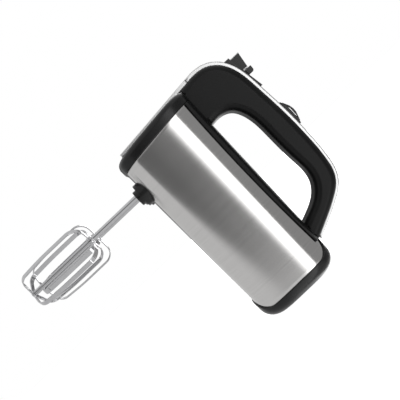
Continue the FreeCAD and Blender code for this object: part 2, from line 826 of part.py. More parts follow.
def make_noses():
    half_height, _, centre = section_sizes(spindle_station)
    belly = centre - half_height
    shifted = spindle_station - size.collar_shift
    for side, name in ((-1, "left"), (1, "right")):
        across = side * spindle_side
        flange = cylinder(size.flange_radius, (belly - size.nose_flange_drop, across, shifted),
                          (belly + 20, across, shifted))
        flange = flange.cut(tube_block(spindle_station - 40, seam_station, -0.12))
        collar = cylinder(size.collar_radius, (nose_bottom(), across, shifted),
                          (belly - size.nose_flange_drop + 0.1, across, shifted))
        neck = cylinder(8.8, (belly - size.nose_flange_drop, across, spindle_station),
                        (frame_floor - 9.3, across, spindle_station))
        solid = flange.fuse([collar, neck])
        for radius, low in ((size.spindle_radius, -38.5), (size.spindle_neck, -70)):
            solid = solid.cut(cylinder(radius + size.running_gap, (low, across, spindle_station),
                                       (0, across, spindle_station)))
        computed(f"drive_nose_{name}", solid.removeSplitter())


# ---- motor ---------------------------------------------------------------------------------

rear_bearing = stack_back - 34


def make_armature():
    shaft_back = rear_bearing - 4
    worm_back = spindle_station - 15
    worm_front = spindle_station + 13
    end = frame_front + 0.5
    steps = [("0", "0"), ("3", "0"), ("3", str(12)), ("dims.shaft_radius", str(12)),
             ("dims.shaft_radius", str(worm_back - shaft_back - 2)), ("3", str(worm_back - shaft_back - 2)),
             ("3", str(end - shaft_back)), ("0", str(end - shaft_back))]
    keep("armature_shaft", turned("armature_shaft", steps, (0, 0, shaft_back)))

    lead = math.pi * size.gear_module
    tip = size.worm_pitch_radius + 0.45 * size.gear_module
    helix = Part.makeHelix(lead, worm_front - worm_back - 2, size.worm_pitch_radius)
    profile = Part.makePolygon([Vector(2.9, 0, -0.7), Vector(tip, 0, -0.35), Vector(tip, 0, 0.35),
                                Vector(2.9, 0, 0.7), Vector(2.9, 0, -0.7)])
    thread = Part.Wire(helix).makePipeShell([profile], True, True)
    start = worm_back + 1
    # The thread's middle meets the +Y side at the spindles' own station.
    turn = 90 - 360 * ((spindle_station - start) / lead % 1)
    thread.Placement = FreeCAD.Placement(Vector(0, 0, start), Rotation(Vector(0, 0, 1), turn))
    core = cylinder(3.4, (0, 0, worm_back), (0, 0, worm_front))
    worm = core.fuse(thread).cut(cylinder(3, (0, 0, 0), (0, 0, far)))
    computed("drive_worm", worm)

    core = cylinder(size.armature_radius, (0, 0, stack_back), (0, 0, stack_front))
    slots = 12
    for index in range(slots):
        slot = cuboid((size.armature_radius - 5, -1.1, stack_back - 1),
                      (size.armature_radius + 1, 1.1, stack_front + 1))
        slot.rotate(Vector(), Vector(0, 0, 1), index * 360 / slots)
        core = core.cut(slot)
    core = core.cut(cylinder(size.shaft_radius, (0, 0, 0), (0, 0, far)))
    computed("armature_core", core)

    rings = [tube(size.armature_radius - 2.5, size.shaft_radius, (0, 0, low), (0, 0, high))
             for low, high in ((stack_back - 8, stack_back), (stack_front, stack_front + 8))]
    computed("armature_windings", Part.makeCompound(rings))

    commutator = tube(10, size.shaft_radius, (0, 0, stack_back - 24), (0, 0, stack_back - 9))
    for index in range(24):
        gap = cuboid((8.6, -0.2, stack_back - 25), (10.5, 0.2, stack_back - 8))
        gap.rotate(Vector(), Vector(0, 0, 1), index * 15)
        commutator = commutator.cut(gap)
    computed("commutator", commutator)

    fan_back = stack_front + 10
    hub = tube(8, size.shaft_radius, (0, 0, fan_back), (0, 0, fan_back + 7))
    disc = tube(27, size.shaft_radius, (0, 0, fan_back), (0, 0, fan_back + 1.5))
    blades = []
    for index in range(14):
        blade = cuboid((7, -0.7, fan_back + 1), (26.5, 0.7, fan_back + 7))
        blade.rotate(Vector(17, 0, 0), Vector(0, 0, 1), 18)
        blade.rotate(Vector(), Vector(0, 0, 1), index * 360 / 14)
        blades.append(blade)
    computed("cooling_fan", hub.fuse([disc] + blades).removeSplitter())


def make_bearings():
    front_radius = size.shaft_radius + 4
    rear = tube(7, 3 + size.bearing_fit, (0, 0, rear_bearing), (0, 0, rear_bearing + 6))
    front = tube(front_radius, size.shaft_radius + size.bearing_fit, (0, 0, frame_back),
                 (0, 0, frame_back + wall_thick))
    nose = tube(front_radius - 2, 3 + size.bearing_fit, (0, 0, frame_front - wall_thick),
                (0, 0, frame_front))
    computed("armature_bearings", Part.makeCompound([rear, front, nose]))


def make_stator():
    half = size.stator_width / 2
    bore = size.armature_radius + size.air_gap
    block_shape = cuboid((-half, -half, stack_back), (half, half, stack_front))
    block_shape = round_edges(block_shape, 8, lambda edge: edge.BoundBox.ZLength > 10)
    core = block_shape.cut(cylinder(bore, (0, 0, 0), (0, 0, far)))
    for side in (-1, 1):
        for low, high in ((-13, -9), (9, 13)):
            core = core.cut(sided_cuboid(side, (low, bore - 2, 0), (high, half - 5, far)))
    computed("stator_core", core)

    coils = []
    for side in (-1, 1):
        near = bore + 0.4
        outside = half - 5.4
        ring = sided_cuboid(side, (-12.6, near, stack_back - 6), (12.6, outside, stack_front + 6))
        hole = sided_cuboid(side, (-9.4, near - 1, stack_back - 0.4), (9.4, outside + 1, stack_front + 0.4))
        coils.append(ring.cut(hole))
    computed("field_coils", Part.makeCompound(coils))


def make_rear_bracket():
    """The plate that carries the rear bearing and the brush holders, with feet on the stator."""
    half = size.stator_width / 2
    back = rear_bearing
    plate = cuboid((-9, -half, back), (9, half, back + 4))
    seat = cylinder(10, (0, 0, back), (0, 0, back + 6))
    feet = [sided_cuboid(side, (-7, half - 4.6, back), (7, half, stack_back)) for side in (-1, 1)]
    solid = plate.fuse([seat] + feet).cut(cylinder(7, (0, 0, 0), (0, 0, far)))
    inside = tube_block(20, stack_front, lining_inset + 0.1)
    computed("rear_bracket", solid.common(inside).removeSplitter())

    holders = []
    brushes = []
    springs = []
    middle = stack_back - 16.5
    for side in (-1, 1):
        outer = half - 4.8
        holder = sided_cuboid(side, (-5, 12, middle - 5), (5, outer, middle + 5))
        cavity = sided_cuboid(side, (-3.2, 11, middle - 3.2), (3.2, outer - 1, middle + 3.2))
        leg = sided_cuboid(side, (-5, 14, back + 4), (5, outer, middle - 5))
        holders.append(holder.cut(cavity).fuse(leg))
        brushes.append(sided_cuboid(side, (-3, 10.1, middle - 3), (3, 17.5, middle + 3)))
        foot = Vector(0, side * 17.8, middle)
        springs.append(spring(2.1, 0.35, 2, outer - 19, foot, Rotation(Vector(1, 0, 0), -90 * side)))
    computed("brush_holders", Part.makeCompound(holders))
    computed("carbon_brushes", Part.makeCompound(brushes))
    computed("brush_springs", Part.makeCompound(springs))


# ---- electrics -----------------------------------------------------------------------------

def make_electrics():
    half = size.grip_width / 2 - size.grip_wall
    front = key_back - 0.7
    back = slot_back - 2
    top = plane_height(front) - shoe_drop - 2.9
    switch = cuboid((top - 8, -6, back), (top, 6, front))
    channel = cuboid((top - 2.6, -1.9, back + 1.5), (top + 1, 1.9, front - 1))
    computed("speed_switch", switch.cut(channel))
    board = cuboid((board_low, 0.3 - half, size.body_front * 0.42),
                   (board_low + board_thick, half - 0.3, back - 0.3))
    computed("circuit_board", board)
    half_height, _, centre = section_sizes(46)
    ceiling = centre + half_height - lining_inset - 0.3
    block_shape = cuboid((ceiling - 10, -11, 46), (ceiling, 11, 58))
    for across in (-7, 0, 7):
        block_shape = block_shape.cut(cylinder(1.6, (ceiling - 4, across, 40), (ceiling - 4, across, 60)))
    computed("terminal_block", block_shape)


# ---- screws --------------------------------------------------------------------------------

def make_screws():
    screws = []
    for height, station in handle_screws:
        shank = cylinder(1.25, (height, -7.5, station), (height, 10, station))
        head = cylinder(3, (height, 10, station), (height, 12, station))
        recess = cuboid((height - 2, 11, station - 0.4), (height + 2, 13, station + 0.4))
        screws.append(shank.fuse(head).cut(recess))
    computed("handle_screws", Part.makeCompound(screws))

    screws = []
    for side in (-1, 1):
        across = side * cap_screw_side
        shank = cylinder(1.25, (cap_screw_height, across, 1.2), (cap_screw_height, across, 14))
        head = cylinder(3.2, (cap_screw_height, across, 0.3), (cap_screw_height, across, 1.2))
        screws.append(shank.fuse(head))
    computed("cap_screws", Part.makeCompound(screws))

    screws = []
    for height, station in bezel_posts():
        shank = cylinder(1.25, (height, 0, frame_front - wall_thick), (height, 0, station - 2))
        head = cylinder(3, (height, 0, station - 2), (height, 0, station))
        screws.append(shank.fuse(head))
    computed("bezel_screws", Part.makeCompound(screws))


# ---- beaters -------------------------------------------------------------------------------

cage_top = nose_bottom() - size.cage_gap + 1
cage_bottom = cage_top - size.cage_length


def cage_loop(across, turn):
    """One closed strip loop, seen side on, turned about the beater's shaft."""
    shoulder = 12
    heel = 7
    bend = 1 - math.sqrt(0.5)

    def line(inset):
        run = size.cage_radius - inset
        top = cage_top - inset
        low = cage_bottom + inset
        points = [(top, 0), (top, run - shoulder), (top - shoulder * bend, run - shoulder * bend),
                  (top - shoulder, run), (low + 30, run), (low + 3 + heel, run - 1.6),
                  (low + 3 + heel * bend, run - 2 - heel * bend), (low + 2.2, run - 3 - heel), (low, 0)]
        half = [Vector(height, 0, reach) for height, reach in points]
        edges = [Part.makeLine(half[0], half[1]), Part.Arc(half[1], half[2], half[3]).toShape(),
                 Part.makeLine(half[3], half[4]), Part.makeLine(half[4], half[5]),
                 Part.Arc(half[5], half[6], half[7]).toShape(), Part.makeLine(half[7], half[8])]
        return edges, half

    outer, outer_points = line(0)
    inner, inner_points = line(size.strip_thick)
    top_end = Part.makeLine(inner_points[0], outer_points[0])
    bottom_end = Part.makeLine(outer_points[-1], inner_points[-1])
    face = Part.Face(Part.Wire(outer + [bottom_end] + inner[::-1] + [top_end]))
    face.translate(Vector(0, -size.strip_width / 2, 0))
    strip = face.extrude(Vector(0, size.strip_width, 0))
    twin = strip.copy()
    twin.rotate(Vector(), Vector(1, 0, 0), 180)
    loop = strip.fuse(twin)
    loop.rotate(Vector(), Vector(1, 0, 0), turn)
    loop.translate(Vector(0, across, spindle_station))
    return loop


def make_beaters():
    for side, name, turn in ((-1, "left", size.left_turn), (1, "right", size.right_turn)):
        across = side * spindle_side
        cage = cage_loop(across, turn).fuse(cage_loop(across, turn + 90))
        hub = cylinder(4.2, (cage_top - 3.5, across, spindle_station),
                       (cage_top + 1.5, across, spindle_station))
        bore = cylinder(size.beater_shaft_radius, (-far, across, spindle_station),
                        (far, across, spindle_station))
        cage = cage.fuse(hub).cut(bore)
        computed(f"beater_cage_{name}", cage.removeSplitter())
        length = str(shaft_top - cage_bottom + 0.6)
        shaft = turned(f"beater_{name}_rod",
                       [("0", "0"), ("dims.beater_shaft_radius", "0"), ("dims.beater_shaft_radius", length),
                        ("0", length)],
                       (cage_bottom - 0.6, f"{side} * dims.spindle_spacing / 2", spindle_station), "X")
        lugs = block(f"beater_{name}_lugs", (6, 1.3, 7),
                     (lug_top - 6, f"{side} * dims.spindle_spacing / 2 - 0.65", spindle_station - 3.5))
        keep(f"beater_shaft_{name}", fuse(f"beater_shaft_{name}", shaft, lugs))


make_sleeve()
make_rear_cap()
make_cord_gland()
make_front_bezel()
make_top_cover()
make_inner_housing()
make_handle()
make_handle_trim()
make_front_trim()
make_control_base()
make_eject_key()
make_speed_slider()
make_turbo()
make_ejector()
make_gear_frame()
make_spindles()
make_noses()
make_armature()
make_bearings()
make_stator()
make_rear_bracket()
make_electrics()
make_screws()
make_beaters()
doc.recompute()

for item in doc.Objects:
    if "Invalid" in item.State or "Error" in item.State:
        raise RuntimeError(f"{item.Name} failed: {item.State}")
os.makedirs("parts", exist_ok=True)
for node in nodes:
    shape = node.Shape
    if shape.isNull() or not shape.isValid():
        raise RuntimeError(f"{node.Label} has no valid shape")
    print(node.Label, len(shape.Solids), round(shape.Volume, 1))
    shape.exportStep(f"parts/{node.Label}.step")
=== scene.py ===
import json
import math

import bmesh
import bpy
from mathutils import Matrix, Vector


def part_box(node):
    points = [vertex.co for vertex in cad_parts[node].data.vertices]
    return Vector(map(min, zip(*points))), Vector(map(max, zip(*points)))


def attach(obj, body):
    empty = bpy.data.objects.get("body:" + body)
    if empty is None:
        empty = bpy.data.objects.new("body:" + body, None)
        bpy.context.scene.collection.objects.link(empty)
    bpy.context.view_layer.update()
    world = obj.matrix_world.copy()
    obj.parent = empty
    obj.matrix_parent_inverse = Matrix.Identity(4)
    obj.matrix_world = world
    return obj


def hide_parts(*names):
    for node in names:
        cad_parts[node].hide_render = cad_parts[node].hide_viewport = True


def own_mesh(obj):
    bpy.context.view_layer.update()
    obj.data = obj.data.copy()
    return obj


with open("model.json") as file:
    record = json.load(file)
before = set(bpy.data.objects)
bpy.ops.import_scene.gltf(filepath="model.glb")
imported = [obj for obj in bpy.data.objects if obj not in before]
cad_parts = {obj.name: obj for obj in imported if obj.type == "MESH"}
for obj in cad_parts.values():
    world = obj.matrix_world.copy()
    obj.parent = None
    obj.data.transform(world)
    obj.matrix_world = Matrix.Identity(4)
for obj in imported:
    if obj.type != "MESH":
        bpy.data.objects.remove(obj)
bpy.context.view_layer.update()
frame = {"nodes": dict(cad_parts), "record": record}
nodes = frame["nodes"]
bodyOf = {node: body for body, group in frame["record"]["behaviour"]["bodies"].items() for node in group}
slotOf = {part["node"]: part["material_slot"] for part in frame["record"]["subparts"]}
print("frame loaded")


# shader maths written as plain expressions
class Signal:
    def __init__(self, finish, socket):
        self.finish = finish
        self.socket = socket

    def maths(self, operation, first, second):
        return self.finish.add("ShaderNodeMath", {"operation": operation}, {0: first, 1: second})

    def output(self, index):
        # another output of the same node
        return Signal(self.finish, self.socket.node.outputs[index])

    def __add__(self, other):
        return self.maths("ADD", self, other)

    def __radd__(self, other):
        return self.maths("ADD", other, self)

    def __sub__(self, other):
        return self.maths("SUBTRACT", self, other)

    def __rsub__(self, other):
        return self.maths("SUBTRACT", other, self)

    def __mul__(self, other):
        return self.maths("MULTIPLY", self, other)

    def __rmul__(self, other):
        return self.maths("MULTIPLY", other, self)

    def __abs__(self):
        return self.maths("ABSOLUTE", self, 0)


# the node tree of a new material or world
class Finish:
    def __init__(self, owner):
        self.owner = owner
        owner.use_nodes = True
        self.tree = owner.node_tree
        self.tree.nodes.clear()

    def add(self, kind, settings=None, inputs=None, output=0):
        made = self.tree.nodes.new(kind)
        for key, setting in (settings or {}).items():
            if key == "stops":
                self.setStops(made.color_ramp, setting)
            else:
                setattr(made, key, setting)
        for key, entry in (inputs or {}).items():
            if isinstance(entry, Signal):
                self.tree.links.new(entry.socket, made.inputs[key])
            else:
                made.inputs[key].default_value = entry
        return Signal(self, made.outputs[output]) if len(made.outputs) else None

    def setStops(self, ramp, stops):
        while len(ramp.elements) > 1:
            ramp.elements.remove(ramp.elements[-1])
        ramp.elements[0].position = stops[0][0]
        ramp.elements[0].color = stops[0][1]
        for position, color in stops[1:]:
            ramp.elements.new(position).color = color

    def noise(self, scale, detail=2, stretch=(1, 1, 1), roughness=0.5):
        here = self.add("ShaderNodeTexCoord", output=3)
        placed = self.add("ShaderNodeMapping", None, {"Vector": here, "Scale": stretch})
        return self.add("ShaderNodeTexNoise", {"noise_dimensions": "3D"},
                        {"Vector": placed, "Scale": scale, "Detail": detail, "Roughness": roughness})

    def ramp(self, factor, stops):
        return self.add("ShaderNodeValToRGB", {"stops": stops}, {"Fac": factor})

    def bump(self, height, distance):
        return self.add("ShaderNodeBump", None, {"Height": height, "Distance": distance, "Strength": 1.0})

    def step(self, factor, start, end):
        # rises smoothly from 0 at start to 1 at end
        return self.add("ShaderNodeMapRange", {"interpolation_type": "SMOOTHSTEP"},
                        {"Value": factor, "From Min": start, "From Max": end})

    def surface(self, **inputs):
        named = {key.replace("_", " "): entry for key, entry in inputs.items()}
        shader = self.add("ShaderNodeBsdfPrincipled", None, named)
        self.add("ShaderNodeOutputMaterial", None, {"Surface": shader})
        return self.owner


def newFinish(name):
    return Finish(bpy.data.materials.new(name))


def grey(level, warmth=0.0):
    return (level * (1 + warmth), level, level * (1 - warmth), 1)


def tinted(color, factor):
    return tuple(min(part * factor, 1) for part in color) + (1,)


# finishes
def makeBrushedSteel():
    look = {"dark": 0.56, "light": 0.66, "warmth": 0.012, "rough": 0.145, "spread": 0.05, "uneven": 0.03,
            "lines": 2600, "depth": 0.000002, "fineShare": 0.75, "stretched": 0.6, "stretchTurn": 0.25}
    steel = newFinish("brushedSteel")
    # the brush ran round the body, so its lines vary along Z and hardly at all across
    fine = steel.noise(1, 3, (14, 14, look["lines"]), 0.7)
    coarse = steel.noise(1, 2, (5, 5, look["lines"] / 5), 0.6)
    cloud = steel.noise(9)
    grain = fine * look["fineShare"] + coarse * (1 - look["fineShare"])
    color = steel.ramp(grain, [(0.25, grey(look["dark"], look["warmth"])),
                               (0.75, grey(look["light"], look["warmth"]))])
    rough = grain * look["spread"] + cloud * look["uneven"] + (look["rough"] - look["spread"] / 2)
    return steel.surface(Base_Color=color, Metallic=1.0, Roughness=rough, Anisotropic=look["stretched"],
                         Anisotropic_Rotation=look["stretchTurn"], Normal=steel.bump(grain, look["depth"]))


def makePlastic(name, level, rough, grainSize, grainDepth, shine=0.5, coat=0.0):
    look = {"clouds": 26, "tones": (0.85, 1.15), "warmth": -0.02, "cloudy": 0.09, "grainy": 0.06,
            "coatRough": 0.12}
    plastic = newFinish(name)
    grain = plastic.noise(1 / grainSize, 3, roughness=0.6)
    cloud = plastic.noise(look["clouds"])
    dark, light = look["tones"]
    color = plastic.ramp(cloud, [(0.3, grey(level * dark, look["warmth"])),
                                 (0.7, grey(level * light, look["warmth"]))])
    uneven = rough + (cloud - 0.5) * look["cloudy"] + (grain - 0.5) * look["grainy"]
    return plastic.surface(Base_Color=color, Roughness=uneven, Specular_IOR_Level=shine, Coat_Weight=coat,
                           Coat_Roughness=look["coatRough"], Normal=plastic.bump(grain, grainDepth))


def makeMetal(name, color, rough, metallic=1.0, stretch=(1, 1, 1), scale=900, depth=0.000004, spread=0.08):
    look = {"clouds": 22, "tones": (0.88, 1.1)}
    metal = newFinish(name)
    grain = metal.noise(scale, 3, stretch, 0.6)
    cloud = metal.noise(look["clouds"])
    dark, light = look["tones"]
    mixed = metal.ramp(grain * 0.5 + cloud * 0.5, [(0.3, tinted(color, dark)), (0.7, tinted(color, light))])
    uneven = rough + (grain - 0.5) * spread + (cloud - 0.5) * spread
    return metal.surface(Base_Color=mixed, Metallic=metallic, Roughness=uneven,
                         Normal=metal.bump(grain, depth))


finishes = {
    "brushed_steel": makeBrushedSteel(),
    "gloss_black": makePlastic("glossBlack", 0.004, 0.25, 0.00035, 0.000003, 0.3, coat=0.04),
    "satin_black": makePlastic("satinBlack", 0.0035, 0.36, 0.0006, 0.000008, 0.17),
    "satin_silver": makeMetal("satinSilver", (0.62, 0.62, 0.62), 0.28, 0.9, scale=6000, depth=0.0000003,
                              spread=0.03),
    "inner_plastic": makePlastic("innerPlastic", 0.1, 0.45, 0.0008, 0.00001),
    "housing_plastic": makePlastic("housingPlastic", 0.05, 0.5, 0.0008, 0.00001),
    "rubber_black": makePlastic("rubberBlack", 0.014, 0.62, 0.0007, 0.000015, 0.3),
    "gear_nylon": makePlastic("gearNylon", 0.72, 0.4, 0.0006, 0.000006),
    "board_green": makeMetal("boardGreen", (0.03, 0.18, 0.07), 0.35, 0.0, scale=300),
    "carbon": makePlastic("carbon", 0.03, 0.6, 0.0004, 0.000012),
    "spring_steel": makeMetal("springSteel", (0.55, 0.55, 0.54), 0.22, scale=1800),
    "die_cast": makeMetal("dieCast", (0.5, 0.51, 0.52), 0.5, scale=700, depth=0.00002),
    "screw_steel": makeMetal("screwSteel", (0.56, 0.55, 0.53), 0.25, stretch=(1, 1, 4)),
    "bronze": makeMetal("bronze", (0.5, 0.34, 0.18), 0.42, scale=1400, depth=0.00001),
    "lamination": makeMetal("lamination", (0.3, 0.3, 0.31), 0.45, stretch=(0.02, 0.02, 2.2), depth=0.00003),
    "copper_wire": makeMetal("copperWire", (0.72, 0.3, 0.14), 0.3, stretch=(0.1, 0.1, 1.4), depth=0.00004),
    "copper_bar": makeMetal("copperBar", (0.8, 0.46, 0.26), 0.25),
    "brass": makeMetal("brass", (0.75, 0.58, 0.28), 0.3),
    "chromed_steel": makeMetal("chromedSteel", (0.56, 0.56, 0.57), 0.08, scale=500, depth=0.000001,
                               spread=0.05),
}
print("finishes made")


# mesh helpers
sheetWeld = 1e-6   # doubles merged on a modelled sheet
nodeWeld = 3e-6    # doubles merged on a copy of a node


def vertsIn(geometry):
    return [item for item in geometry if isinstance(item, bmesh.types.BMVert)]


def bentSheet(bm, columns, rows, place):
    # a flat grid, each vertex moved to place(u, v), with the seams it closes merged
    made = bmesh.ops.create_grid(bm, x_segments=columns, y_segments=rows, size=0.5)["verts"]
    for vert in made:
        vert.co = place(vert.co.x + 0.5, vert.co.y + 0.5)
    bmesh.ops.remove_doubles(bm, verts=bm.verts, dist=sheetWeld)


def turnOutwards(bm, outwards):
    # an open sheet has no inside, so outwards(face) tells which way its faces should point
    bmesh.ops.recalc_face_normals(bm, faces=bm.faces)
    if sum(outwards(face) for face in bm.faces) < 0:
        bmesh.ops.reverse_faces(bm, faces=bm.faces)


def fillHoles(bm):
    rims = [edge for edge in bm.edges if edge.is_boundary]
    bmesh.ops.holes_fill(bm, edges=rims, sides=0)


def addBar(bm, radius, start, end, segments=48, tip=0.0):
    # a round bar between two points, its far end rounded by tip
    start, end = Vector(start), Vector(end)
    run = end - start
    turn = Vector((0, 0, 1)).rotation_difference(run).to_matrix().to_4x4()
    spot = Matrix.Translation(start + run / 2) @ turn
    made = bmesh.ops.create_cone(bm, cap_ends=True, segments=segments, radius1=radius, radius2=radius,
                                 depth=run.length, matrix=spot)["verts"]
    if tip:
        endVerts = {vert for vert in made if (vert.co - end).dot(run) > -1e-9}
        rim = [edge for edge in bm.edges if endVerts.issuperset(edge.verts)]
        bmesh.ops.bevel(bm, geom=rim, offset=tip, affect="EDGES", segments=3, profile=0.5, material=-1)


def carve(piece, bars):
    # cut round holes, given as (radius, start, end), into a finished piece's mesh
    bm = bmesh.new()
    for radius, start, end in bars:
        addBar(bm, radius, start, end, segments=64)
    bmesh.ops.recalc_face_normals(bm, faces=bm.faces)
    cutterMesh = bpy.data.meshes.new("cutter")
    bm.to_mesh(cutterMesh)
    bm.free()
    cutter = bpy.data.objects.new("cutter", cutterMesh)
    bpy.context.scene.collection.objects.link(cutter)
    holes = piece.modifiers.new("holes", "BOOLEAN")
    holes.operation = "DIFFERENCE"
    holes.solver = "EXACT"
    holes.use_self = True
    holes.object = cutter
    piece.modifiers.move(len(piece.modifiers) - 1, 0)
    later = [modifier for modifier in piece.modifiers if modifier != holes]
    for modifier in later:
        modifier.show_viewport = False
    bpy.context.view_layer.update()
    carved = bpy.data.meshes.new_from_object(piece.evaluated_get(bpy.context.evaluated_depsgraph_get()))
    piece.modifiers.remove(holes)
    for modifier in later:
        modifier.show_viewport = True
    piece.data = carved
    bpy.data.objects.remove(cutter)


def prism(bm, outline, halfWidth):
    # a block from a closed side outline of (height, station) pairs
    corners = [bm.verts.new((height, -halfWidth, station)) for height, station in outline]
    side = bm.faces.new(corners)
    made = bmesh.ops.extrude_face_region(bm, geom=[side])["geom"]
    bmesh.ops.translate(bm, verts=vertsIn(made), vec=(0, 2 * halfWidth, 0))


def pieceName(node):
    words = node.split("_")
    return words[0] + "".join(word.capitalize() for word in words[1:])


def finishPiece(bm, node, bevel=0.0, segments=3, wall=0.0, sharpAngle=32, body=None):
    # one finished piece: outward normals, smooth shading, the material of its node's slot and its body, with
    # the node it stands for hidden
    if not wall:
        bmesh.ops.recalc_face_normals(bm, faces=bm.faces)
    name = pieceName(node)
    mesh = bpy.data.meshes.new(name)
    bm.to_mesh(mesh)
    bm.free()
    piece = bpy.data.objects.new(name, mesh)
    bpy.context.scene.collection.objects.link(piece)
    for face in mesh.polygons:
        face.use_smooth = True
    mesh.set_sharp_from_angle(angle=math.radians(sharpAngle))
    if wall:
        shell = piece.modifiers.new("wall", "SOLIDIFY")
        shell.thickness = wall
        shell.offset = -1
        shell.use_even_offset = True
    if bevel:
        edge = piece.modifiers.new("edge", "BEVEL")
        edge.width = bevel
        edge.segments = segments
        edge.limit_method = "ANGLE"
        edge.angle_limit = math.radians(sharpAngle)
        edge.harden_normals = False
    even = piece.modifiers.new("evenNormals", "WEIGHTED_NORMAL")
    even.mode = "FACE_AREA"
    even.keep_sharp = not bevel
    mesh.materials.append(finishes[slotOf[node]])
    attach(piece, body or bodyOf[node])
    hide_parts(node)
    return piece


def mergedCopy(node):
    bm = bmesh.new()
    bm.from_mesh(nodes[node].data)
    bmesh.ops.remove_doubles(bm, verts=bm.verts, dist=nodeWeld)
    bmesh.ops.dissolve_limit(bm, angle_limit=math.radians(0.4), verts=bm.verts, edges=bm.edges)
    return bm


def sharpEdges(bm, degrees):
    return [edge for edge in bm.edges
            if len(edge.link_faces) == 2 and edge.calc_face_angle(0) > math.radians(degrees)]


def refined(node, bevel=0.0, body=None):
    # a merged copy of a node, with softened edges and even shading
    return finishPiece(mergedCopy(node), node, bevel, segments=2, body=body)


# controls and trim
def makeSpring(node):
    # a merged copy of the coil, kept on the housing, with a mesh of its own
    spring = refined(node, body="housing")
    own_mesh(spring)


def makeTrimStrip(node, middle):
    # a satin strip whose two outer edges are rounded over along its whole length
    form = {"halfWidth": 0.0085, "round": 0.0013, "segments": 5, "sharp": 60, "sideFrom": 0.9, "backTo": 0.3}
    bm = mergedCopy(node)
    outer = []
    for edge in sharpEdges(bm, form["sharp"]):
        sides = [face for face in edge.link_faces if abs(face.normal.y) > form["sideFrom"]]
        backs = [face for face in edge.link_faces if abs(face.normal.y) < form["backTo"]]
        spot = (edge.verts[0].co + edge.verts[1].co) / 2
        if sides and backs and abs(spot.y) > form["halfWidth"]:
            if backs[0].normal.dot(spot - Vector(middle)) > 0:
                outer.append(edge)
    bmesh.ops.bevel(bm, geom=outer, offset=form["round"], affect="EDGES", segments=form["segments"],
                    profile=0.5, material=-1)
    finishPiece(bm, node, sharpAngle=40)


def makeEjectKey():
    # a black wedge with bright rounded edges along both sides of its outline
    form = {"side": 0.006, "top": 0.1, "sharp": 50, "round": 0.0007, "segments": 3, "lift": 0.00004,
            "skin": 0.00006}

    def wedge():
        bm = mergedCopy("eject_key")
        outline = []
        for edge in sharpEdges(bm, form["sharp"]):
            sides = [vert.co.y for vert in edge.verts]
            onSide = min(sides) > form["side"] or max(sides) < -form["side"]
            if onSide and max(vert.co.x for vert in edge.verts) > form["top"]:
                outline.append(edge)
        rounded = bmesh.ops.bevel(bm, geom=outline, offset=form["round"], affect="EDGES",
                                  segments=form["segments"], profile=0.5, material=-1)["faces"]
        return bm, set(rounded)

    finishPiece(wedge()[0], "eject_key", sharpAngle=40)
    bm, rounded = wedge()
    bmesh.ops.delete(bm, geom=[face for face in bm.faces if face not in rounded], context="FACES")
    bm.normal_update()
    for vert in bm.verts:
        vert.co += vert.normal * form["lift"]
    bmesh.ops.solidify(bm, geom=bm.faces[:], thickness=form["skin"])
    bm.from_mesh(nodes["key_band"].data)
    bmesh.ops.remove_doubles(bm, verts=bm.verts, dist=nodeWeld)
    finishPiece(bm, "key_band", sharpAngle=40)


# body form, shared by the sleeve, bezel, cap and cover
bodyForm = {
    "heelHeight": 0.0814, "heelWidth": 0.0765, "heelCentre": 0.0019,
    "frontHeight": 0.0896, "frontWidth": 0.082, "frontCentre": -0.0002,
    "length": 0.2064, "lean": 0.1164, "power": 4, "middle": 0.1,
    "sleeveBack": 0.013, "seam": 0.194, "corner": 0.013, "windowAbove": 0.0006, "windowBelow": 0.0012,
    "proud": 0.0014, "gap": 0.0003, "edge": 0.00045,
    "spindleStation": 0.1683, "spindleSide": 0.02,
}


def sectionAt(station):
    share = station / bodyForm["length"]
    height, width, centre = (
        bodyForm["heel" + measure] + share * (bodyForm["front" + measure] - bodyForm["heel" + measure])
        for measure in ("Height", "Width", "Centre"))
    return height / 2, width / 2, centre


def bodyPoint(turn, station, inset):
    # a point of the tube's section; turn 0 is the top
    halfHeight, halfWidth, centre = sectionAt(station)
    power = bodyForm["power"]
    across = abs(math.cos(turn) / (halfHeight - inset)) ** power
    along = abs(math.sin(turn) / (halfWidth - inset)) ** power
    reach = (across + along) ** (-1 / power)
    height = centre + reach * math.cos(turn)
    lean = bodyForm["lean"] * station / bodyForm["length"]
    return Vector((height, reach * math.sin(turn), station + lean * height))


def windowEdge(height, grow=0.0):
    # station of the steel's rear edge at a height: straight, with a round corner above and below
    halfHeight, halfWidth, centre = sectionAt(bodyForm["sleeveBack"])
    radius = bodyForm["corner"] + grow
    pivot = bodyForm["sleeveBack"] + bodyForm["corner"]
    high = centre + halfHeight + bodyForm["windowAbove"] + grow - radius
    low = centre - halfHeight - bodyForm["windowBelow"] - grow + radius
    away = max(height - high, low - height, 0)
    return pivot - math.sqrt(max(radius * radius - away * away, 0))


def ringStack(bm, rings, columns=128):
    # closed rings of the body's section; each ring gives a station and an inset for a turn
    def place(u, v):
        ring = rings[round(v * (len(rings) - 1))]
        turn = 2 * math.pi * u
        return bodyPoint(turn, *ring(turn))

    bentSheet(bm, columns, len(rings) - 1, place)


